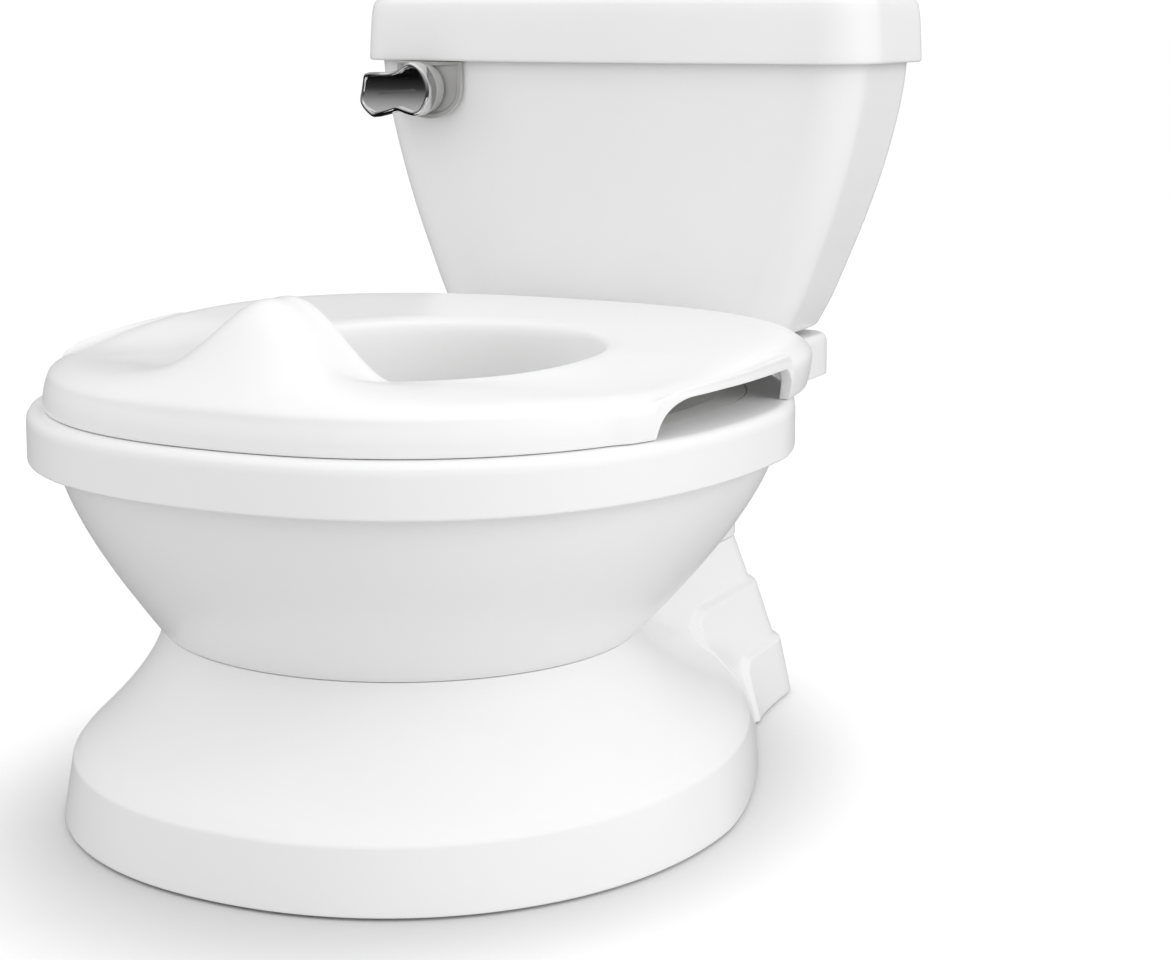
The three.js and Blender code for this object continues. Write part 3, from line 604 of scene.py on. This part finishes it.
def seat_ring(rho, drop=0.0, under=False):
    """Ring of the seat's face or underside; rho runs from 0 at the outer edge to 1 at the hole."""
    outer = egg(0, grow(SEAT, -UNDER_INSET if under else 0), SEAT_FAN)
    inner = egg(0, grow(HOLE, UNDER_HOLE if under else 0), SEAT_FAN)
    x, y = mix(outer, inner, rho)[:, :2].T
    level = SEAT_TOP + edge_rise(y) * (1 - rho) - thigh_dip(x, y) * 4 * rho * (1 - rho)
    return np.stack([x, y, level - drop + guard(x, y, rho)], 1)


def hole_down(drop, d):
    """The hole's edge, lowered and drawn in."""
    return drawn_in(seat_ring(1, drop), d, HOLE["yc"])


def hole_ring(z, d):
    return egg(z, grow(HOLE, d), SEAT_FAN)


def finger_lift(y):
    """How far the seat's lower edge is raised for the finger gaps."""
    front, rear = FINGER_Y
    rise = np.sqrt(1 - np.clip((front + FINGER_FRONT - y) / FINGER_FRONT, 0, 1) ** 2)
    fall = (1 - np.clip((y - rear + FINGER_REAR) / FINGER_REAR, 0, 1) ** 2.5) ** 0.4
    return (FINGER_TOP - SEAT_FOOT) * rise * fall


def cheek(y, h):
    """Slight boss on the wall just in front of each finger gap."""
    return CHEEK * smooth((y + 92) / 2.5) * (1 - smooth((y + 72) / 40)) * (1 - smooth((h - 0.7) / 0.3))


def wall_ring(up, inset=0.0):
    """Outer wall of the seat at a fraction of its height, leaning in a little at the front."""
    x, y, _ = egg(0, SEAT, SEAT_FAN).T
    foot, top = SEAT_FOOT + finger_lift(y), SEAT_TOP + edge_rise(y)
    z = mix(foot, top, up)
    h = (z - SEAT_FOOT) / (top - SEAT_FOOT)
    lean = np.interp(h, [0, 0.3, 0.62, 1], [0, 1.9, 3.4, 4.4]) * smooth((70 - y) / 200)
    bulge = np.interp(h, [0, 0.3], [0, 1.6])
    s = 1 - (lean - bulge + inset - cheek(y, h)) / np.hypot(x, y)
    return np.stack([x * s, y * s, z], 1)


seat_top = flow([wall_ring(0.1), wall_ring(0.35), wall_ring(0.62)]
                + [seat_ring(rho, drop) for rho, drop in ((0.05, 3.4), (0.12, 1.2), (0.2, 0.2))]
                + [seat_ring(rho) for rho in (0.32, 0.5, 0.68, 0.85, 0.95)]
                + [hole_down(1.3, 1.5), hole_down(6, 4), hole_ring(COLLAR_Z + 6, -6.7)], 4)
seat_under = flow([hole_ring(COLLAR_Z + 6, -4.1), hole_down(7, 1)]
                  + [seat_ring(rho, drop, under=True) for rho, drop in
                     ((0.93, 4.2), (0.55, 4.6), (0.3, 4.8), (0.15, 5.4))], 3)
seat = loft("seat", soften(
    [(wall_ring(0), 0.8)] + sharp(seat_top) + [(hole_ring(COLLAR_Z, -7), 1), (hole_ring(COLLAR_Z, -4.5), 1)]
    + sharp(seat_under) + [(wall_ring(0.3, 4.2), 0), (wall_ring(0, 4), 0.8)]), loop=True)
finish_piece(seat, "seat", "white_plastic", "potty_seat", angle=50)


# ---- tank ---------------------------------------------------------------------------
TANK_FLOOR = TANK_FOOT_Z + WALL
LEVER_AT = (LEVER[0], 120, LEVER[1])


def tank_box(z, w):
    t = (z - RIM_TOP) / (TANK_TOP - RIM_TOP)
    return dict(w=w, y0=mix(134, 130, t), y1=mix(214, 224.5, min(1, t * 1.5)), r=20, bow=7.9)


tank_foot = tank_box(RIM_TOP, 70)
tank_outside = flow([box_ring(z, tank_box(z, w)) for z, w in TANK_SIDE], 4)
tank_inside = [box_ring(z, tank_box(z, w), WALL) for z, w in TANK_SIDE[:1:-1]]
tank_inside.append(box_ring(TANK_FLOOR, tank_box(160, 79), WALL + 1))
tank = loft("tank", [box_ring(RIM_TOP + GAP, tank_foot, 3), box_ring(TANK_FOOT_Z, tank_foot, 3)]
            + tank_outside + tank_inside)
for middle in (-HINGE["x"], HINGE["x"]):
    for x in (middle - EAR_OFFSET, middle + EAR_OFFSET):
        left, right = x - EAR / 2, x + EAR / 2
        ear = turned("ear", disc(HINGE["r"], EAR, 0.5), (left, HINGE["y"], HINGE["z"]), 24, "x")
        web = block("web", left, right, 222.5, HINGE["y"], HINGE["z"] - 2.4, HINGE["z"] + 2.2)
        combine(ear, web, "UNION")
        combine(tank, ear, "UNION")
    bore(tank, PIN_HOLE, 24, (middle - 12, HINGE["y"], HINGE["z"]), axis="x")
bore(tank, SPINDLE_HOLE, 40, LEVER_AT, 32, "y")
for x, y in TANK_BOLTS:
    bore(tank, BOLT_HOLE, 12, (x, y, RIM_TOP - 2), 24)
finish_piece(tank, "chair", "white_plastic", "tank_shell", angle=45)


# ---- tank lid -----------------------------------------------------------------------
lid_outside = flow([box_ring(z, LID, d) for z, d in (
    (LID_Z + 1.2, 0), (LID_TOP - 12, 0.8), (LID_TOP - 6, 1.4), (LID_TOP - 2.6, 2.4),
    (LID_TOP - 0.8, 4.6), (LID_TOP, 8))])
lid_inside = [box_ring(z, LID, d) for z, d in (
    (LID_TOP - 3.2, 9), (LID_TOP - 7, 3.8), (LID_Z + 1, 2.6), (LID_Z, 2.4))]
lid = loft("lid", lid_inside + [box_ring(LID_Z, LID, 0.9), box_ring(LID_Z + 0.3, LID, 0.3)] + lid_outside)
mouth = tank_box(TANK_TOP, 117.6)
rib = [box_ring(z, mouth, d) for z, d in (
    (TANK_TOP + GAP, 0.4), (LID_TOP - 3, 0.4), (LID_TOP - 3, 2.8), (TANK_TOP + GAP, 2.8))]
combine(lid, loft("rib", rib, loop=True), "UNION")
for x in (-HINGE["x"], HINGE["x"]):
    left, right = x - KNUCKLE / 2, x + KNUCKLE / 2
    knuckle = turned("knuckle", disc(HINGE["r"], KNUCKLE, 0.5), (left, HINGE["y"], HINGE["z"]), 24, "x")
    web = block("web", left, right, HINGE["y"] - 1, HINGE["y"] + 1.2, HINGE["z"], LID_Z + 3)
    combine(knuckle, web, "UNION")
    combine(lid, knuckle, "UNION")
    bore(lid, PIN_HOLE, 24, (x - 12, HINGE["y"], HINGE["z"]), axis="x")
finish_piece(lid, "lid", "white_plastic", "tank_lid", angle=45)


# ---- flush lever and its plate ------------------------------------------------------
# round boss to the right, paddle to the left, a crest between them and a notch below
LEVER_OUTLINE = [(11.4, 1.5), (9.9, 5.6), (6.9, 9.7), (2.6, 12), (-1, 11.3), (-4.8, 8.9), (-9, 7.7),
                 (-15.5, 7.4), (-22.5, 7.1), (-25, 5.6), (-26.7, 0.3), (-27.4, -5.4), (-24.6, -9.2),
                 (-19, -12.5), (-15.4, -12.2), (-9, -10.6), (-5.3, -9.7), (-1, -10.9), (3.4, -11.8),
                 (7.2, -10.6), (10, -6.8), (11.4, -2.6)]
SCOOP, SCOOP_HALF = 5.2, 13.2         # depth and half height of the hollow in the lever's face
SCOOP_RIM = 2.1                       # from the lever's edge to the hollow
SCOOP_RINGS = 15
FARTHEST_IN = 0.97                    # share of the way to its spine that an outline can go
COLLAR = [(3.2, 0), (10.6, 0), (11.2, 0.6), (11.4, 6.2), (11, 6.6), (3.2, 6.6)]    # radius, depth


def curve_through(points, steps):
    """Closed smooth curve through points in X-Z, as an array."""
    pts = np.array(points, float)
    out = []
    for i in range(len(pts)):
        p0, p1, p2, p3 = (pts[(i + k) % len(pts)] for k in (-1, 0, 1, 2))
        for k in range(steps):
            t = k / steps
            out.append(0.5 * (2 * p1 + (p2 - p0) * t + (2 * p0 - 5 * p1 + 4 * p2 - p3) * t * t
                              + (3 * p1 - p0 - 3 * p2 + p3) * t ** 3))
    return np.array(out)


def profile_ring(outline, spine, y, inset):
    """Outline in X-Z at depth y, drawn in towards a spine by a distance."""
    rel = outline - spine
    length = np.linalg.norm(rel, axis=1, keepdims=True)
    p = spine + rel * (1 - np.minimum(inset / length, FARTHEST_IN))
    return np.stack([p[:, 0], np.full(len(p), float(y)), p[:, 1]], 1)


def scooped(points, everywhere=False):
    """Ring sunk into the hollow of the face, or only where the hollow runs out at the left end."""
    x, y, z = points.T
    hollow = SCOOP * (1 - ((z - LEVER[1] + 1) / SCOOP_HALF) ** 2)
    share = 1.0 if everywhere else smooth((LEVER[0] - 13 - x) / 9)
    return np.stack([x, y + hollow * share, z], 1)


outline = curve_through([(LEVER[0] + x, LEVER[1] + z) for x, z in LEVER_OUTLINE][::-1], 5)
spine_x = np.clip(outline[:, 0], LEVER[0] - 17, LEVER[0] + 1)
spine = np.stack([spine_x, LEVER[1] - 1 + 0.05 * (spine_x - LEVER[0])], 1)
to_spine = np.linalg.norm(outline - spine, axis=1)[:, None]
rings = [profile_ring(outline, spine, LEVER_FACE + y, d) for y, d in ((8, 3), (7.8, 0.9), (7.2, 0))]
rings += [scooped(profile_ring(outline, spine, LEVER_FACE + y, d)) for y, d in (
    (1.8, 0), (1, 0.15), (0.5, 0.45), (0.15, 0.9), (0, 1.4), (0.12, 1.8), (0.4, 2))]
for k in range(SCOOP_RINGS):
    inset = SCOOP_RIM + (to_spine - SCOOP_RIM) * k / SCOOP_RINGS
    rings.append(scooped(profile_ring(outline, spine, LEVER_FACE + 0.5, inset), everywhere=True))
lever = loft("flush_lever_bright", rings)
finish_piece(lever, "handle", "chrome", "flush_lever", angle=60)
collar = turned("lever_collar", COLLAR, (LEVER[0], LEVER_FACE + 8.1, LEVER[1]), 64, "y")
finish_piece(collar, "handle", "satin_trim", "flush_lever", angle=45)

left, right, top = PLATE["x"] - PLATE["half"], PLATE["x"] + PLATE["half"], LID_Z - GAP
arc_z = PLATE["low"] + PLATE["foot"]
arc = [(PLATE["x"] + PLATE["half"] * math.cos(a), arc_z + PLATE["foot"] * math.sin(a))
       for a in np.linspace(math.pi, 2 * math.pi, 25)]
plate_outline = np.array(arc + [(right, z) for z in np.linspace(PLATE["side"], top, 5)]
                         + [(x, top) for x in np.linspace(right - 2, left + 2, 10)]
                         + [(left, z) for z in np.linspace(top, PLATE["side"], 5)])
middle = np.broadcast_to((PLATE["x"], PLATE["z"]), plate_outline.shape)
plate = loft("lever_plate", [profile_ring(plate_outline, middle, PLATE["face"] + y, d) for y, d in (
    (12, 1.3), (2, 1.3), (1.8, 0), (0.7, 0), (0.2, 0.25), (0, 0.8), (0.05, 1.9), (0.6, 2.5), (1, 3.1),
    (1, 9))])
tank_form = loft("tank_form", [box_ring(z, tank_box(z, w), -GAP) for z, w in TANK_SIDE])
combine(plate, tank_form, "DIFFERENCE")
bore(plate, SPINDLE_HOLE, 40, LEVER_AT, 32, "y")
finish_piece(plate, "chair", "satin_trim", "handle_escutcheon", angle=40)


# ---- floor --------------------------------------------------------------------------
FLOOR_SIDE = 40                       # half of the floor's side, m
PAINTED_GLOW = 0.36                           # painted glow: how much the floor brightens away from the chair, to the camera alone, leaving painted shadow round it
GLOW_START, GLOW_END = 0.14, 0.25     # m from the middle, where that begins and is complete
BOUNCE, SEEN = 0.75, 0.73             # share of the floor's paint in bounced light and as seen


def camera_only(tree, bounced, seen):
    """One value for what the camera sees straight away, and another for bounced light."""
    ray = tree.nodes.new("ShaderNodeLightPath")
    pick = tree.nodes.new("ShaderNodeMapRange")
    pick.inputs["To Min"].default_value, pick.inputs["To Max"].default_value = bounced, seen
    tree.links.new(ray.outputs["Is Camera Ray"], pick.inputs["Value"])
    return pick.outputs["Result"]


def add_painted_glow(tree, shader):
    """Painted glow and painted shadow: lets the floor glow to white outside an oval round the chair, to the
    camera alone, and leaves it darker round the chair.
    """
    where = tree.nodes.new("ShaderNodeTexCoord")
    oval = tree.nodes.new("ShaderNodeVectorMath")
    oval.operation = "MULTIPLY_ADD"
    oval.inputs[1].default_value, oval.inputs[2].default_value = (1.35, 1, 1), (0, 0.05, 0)
    distance = tree.nodes.new("ShaderNodeVectorMath")
    distance.operation = "LENGTH"
    fade = tree.nodes.new("ShaderNodeMapRange")
    fade.interpolation_type = "SMOOTHSTEP"
    fade.inputs["From Min"].default_value, fade.inputs["From Max"].default_value = GLOW_START, GLOW_END
    fade.inputs["To Max"].default_value = PAINTED_GLOW
    shown = tree.nodes.new("ShaderNodeMath")
    shown.operation = "MULTIPLY"
    tree.links.new(where.outputs["Object"], oval.inputs[0])
    tree.links.new(oval.outputs["Vector"], distance.inputs[0])
    tree.links.new(distance.outputs["Value"], fade.inputs["Value"])
    tree.links.new(fade.outputs["Result"], shown.inputs[0])
    tree.links.new(camera_only(tree, 0.0, 1.0), shown.inputs[1])
    shader.inputs["Emission Color"].default_value = (1, 1, 1, 1)
    tree.links.new(shown.outputs["Value"], shader.inputs["Emission Strength"])


def dim_paint(tree, shader):
    """Darkens the floor's colour by one share in bounced light and another as seen; near the chair, where
    no painted glow is added, this darker paint is painted shade on top of the real shadow.
    """
    dim = tree.nodes.new("ShaderNodeVectorMath")
    dim.operation = "SCALE"
    tree.links.new(shader.inputs["Base Color"].links[0].from_socket, dim.inputs[0])
    tree.links.new(camera_only(tree, BOUNCE, SEEN), dim.inputs["Scale"])
    tree.links.new(dim.outputs["Vector"], shader.inputs["Base Color"])


paint = moulded("floor_paint", (0.9, 0.9, 0.9), 0.9, spread=0.02, bump=0.0, grain=200, tint=0.995)
floor = new_object("floor", [(x * FLOOR_SIDE / MM, y * FLOOR_SIDE / MM, 0) for x, y in
                             ((-1, -1), (1, -1), (1, 1), (-1, 1))], [(0, 1, 2, 3)])
floor.data.materials.append(paint)
# painted glow on the floor away from the chair, and painted shadow round it, to the camera alone
add_painted_glow(paint.node_tree, paint.node_tree.nodes["Principled BSDF"])
dim_paint(paint.node_tree, paint.node_tree.nodes["Principled BSDF"])
floor.visible_glossy = False


# ---- surroundings -------------------------------------------------------------------
SKY, BACKDROP = 1.1, 1.05             # strength of the surroundings as light, and as seen
scene = bpy.context.scene
world = bpy.data.worlds.new("studio")
scene.world = world
world.use_nodes = True
sky, links = world.node_tree.nodes, world.node_tree.links
where = sky.new("ShaderNodeTexCoord")
split = sky.new("ShaderNodeSeparateXYZ")
height = sky.new("ShaderNodeMapRange")
height.inputs["From Min"].default_value = -1
links.new(where.outputs["Generated"], split.inputs["Vector"])
links.new(split.outputs["Z"], height.inputs["Value"])
ray = sky.new("ShaderNodeLightPath")


def gradient(*stops):
    """Brightness of the surroundings from straight down, 0, to straight up, 1."""
    node = sky.new("ShaderNodeValToRGB")
    ramp = node.color_ramp
    while len(ramp.elements) < len(stops):
        ramp.elements.new(0.5)
    for element, (at, value) in zip(ramp.elements, stops):
        element.position, element.color = at, (value, value, value, 1)
    links.new(height.outputs["Result"], node.inputs["Fac"])
    return node.outputs["Color"]


def choose(kind, otherwise, chosen):
    """Colour for one kind of ray, and another for the rest."""
    node = sky.new("ShaderNodeMix")
    node.data_type = "RGBA"
    links.new(ray.outputs[kind], node.inputs["Factor"])
    colours = [socket for socket in node.inputs if socket.type == "RGBA"]
    links.new(otherwise, colours[0])
    links.new(chosen, colours[1])
    return next(socket for socket in node.outputs if socket.type == "RGBA")


diffuse_sky = gradient((0.44, 0.02), (0.5, 0.72), (0.72, 1), (1, 0.84))
glossy_sky = gradient((0.2, 0.004), (0.43, 0.04), (0.62, 0.22), (0.84, 0.5), (0.92, 1))
seen_sky = gradient((0, 1), (1, 1))
lighting = choose("Is Glossy Ray", diffuse_sky, glossy_sky)
links.new(choose("Is Camera Ray", lighting, seen_sky), sky["Background"].inputs["Color"])
links.new(camera_only(world.node_tree, SKY, BACKDROP), sky["Background"].inputs["Strength"])


# ---- lamps and camera ---------------------------------------------------------------
def soft_box(name, at, aim, side, power):
    """Square lamp, in m and W, that mirrors don't show."""
    data = bpy.data.lights.new(name, "AREA")
    data.shape, data.size, data.energy = "SQUARE", side, power
    lamp = bpy.data.objects.new(name, data)
    lamp.location = at
    lamp.rotation_mode = "QUATERNION"
    lamp.rotation_quaternion = (Vector(aim) - Vector(at)).to_track_quat("-Z", "Y")
    lamp.visible_glossy = False
    scene.collection.objects.link(lamp)


soft_box("overhead", (0.1, -0.2, 1.6), (0, 0, 0.1), 1.4, 2)
soft_box("key_right", (1.7, -0.1, 0.7), (0, 0, 0.12), 1.2, 8.5)
soft_box("fill_left", (-1.6, -0.4, 0.6), (0, 0, 0.1), 1.2, 3)

AZIMUTH, PITCH = 27 * DEG, 8 * DEG
camera_data = bpy.data.cameras.new("camera")
camera_data.sensor_fit, camera_data.sensor_width, camera_data.lens = "HORIZONTAL", 36, 70.58
camera_data.shift_x, camera_data.shift_y = 0.0355, -0.1197
camera_data.clip_start, camera_data.clip_end = 0.05, 60
camera = bpy.data.objects.new("camera", camera_data)
camera.location = (0.4356, -0.8015, 0.2966)
camera.rotation_euler = (math.pi / 2 - PITCH, 0, AZIMUTH)
scene.collection.objects.link(camera)
scene.camera = camera
scene.view_settings.view_transform = "Standard"
